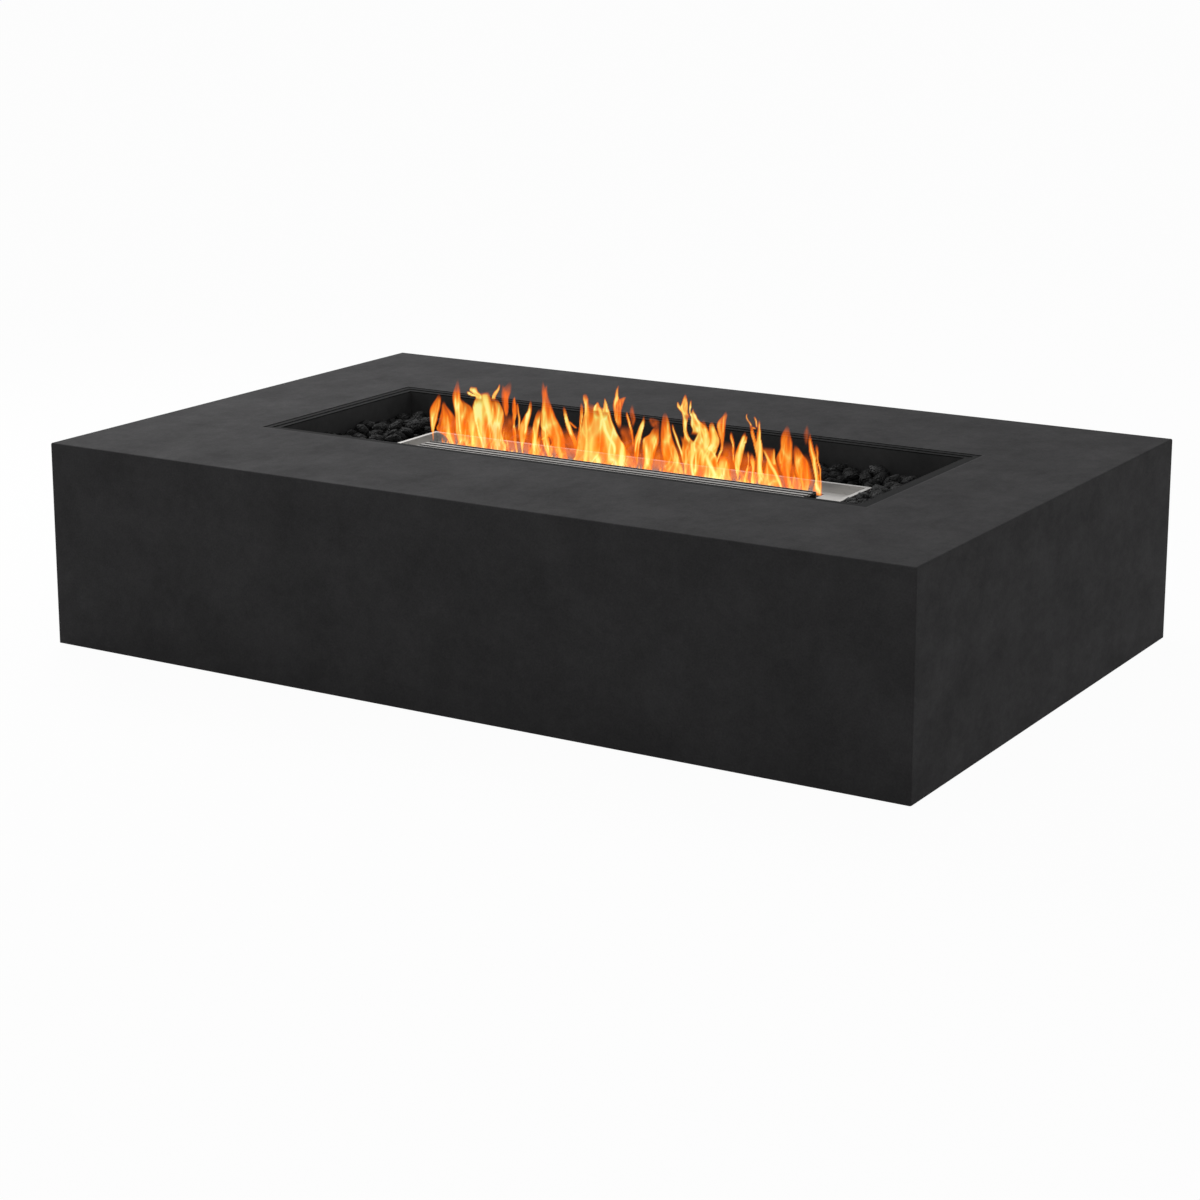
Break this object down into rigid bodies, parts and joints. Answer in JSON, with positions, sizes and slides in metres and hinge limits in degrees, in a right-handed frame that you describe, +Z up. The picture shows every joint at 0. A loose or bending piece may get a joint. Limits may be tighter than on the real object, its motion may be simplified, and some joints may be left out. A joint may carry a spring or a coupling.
{
  "type": "fire pit table",
  "caption": "Low rectangular concrete fire pit table with a slot burner set in lava rock, whose lid slides over the slot to put the flame out.",
  "frame": {"origin": "on the floor under the middle of the table, at the lowest point of the feet", "axes": "+X along the long side, +Y away from the long front face towards the slot's side, +Z up"},
  "size_m": [1.65, 1.05, 0.364],
  "materials": {
    "concrete": "matte",
    "tray_black": "matte",
    "stainless": "satin",
    "lava": "matte",
    "frame_black": "satin",
    "zinc": "satin",
    "rubber": "matte"
  },
  "bodies": {
    "table": {"concrete_shell": "concrete", "foot_soles": "rubber", "foot_pads": "zinc", "foot_stems": "zinc", "foot_lock_nuts": "zinc", "weld_bushes": "frame_black", "anchor_inserts": "zinc", "anchor_bolts": "zinc", "tray_floor": "tray_black", "tray_front_wall": "tray_black", "tray_rear_wall": "tray_black", "tray_left_wall": "tray_black", "tray_right_wall": "tray_black", "tray_front_flange": "tray_black", "tray_rear_flange": "tray_black", "tray_left_flange": "tray_black", "tray_right_flange": "tray_black", "left_burner_cradle": "tray_black", "right_burner_cradle": "tray_black", "rock_bed": "lava", "front_rail": "frame_black", "rear_rail": "frame_black", "left_end_rail": "frame_black", "right_end_rail": "frame_black", "left_cross_rail": "frame_black", "right_cross_rail": "frame_black", "lava_rocks_left": "lava", "lava_rocks_right": "lava", "lava_rocks_front": "lava", "lava_rocks_back": "lava"},
    "burner": {"burner_surround": "stainless", "burner_casing": "stainless", "fuel_tank": "stainless", "burner_throat": "stainless", "tank_spacers": "stainless", "flame_baffle": "stainless"},
    "lid": {"slide_lid": "stainless"}
  },
  "joints": [
    {"name": "burner_lift", "type": "slide", "parent": "table", "child": "burner", "axis": [0, 0, 1], "range_m": [0, 0.15]},
    {"name": "lid_slide", "type": "slide", "parent": "burner", "child": "lid", "axis": [0, 1, 0], "range_m": [0, 0.057]}
  ]
}
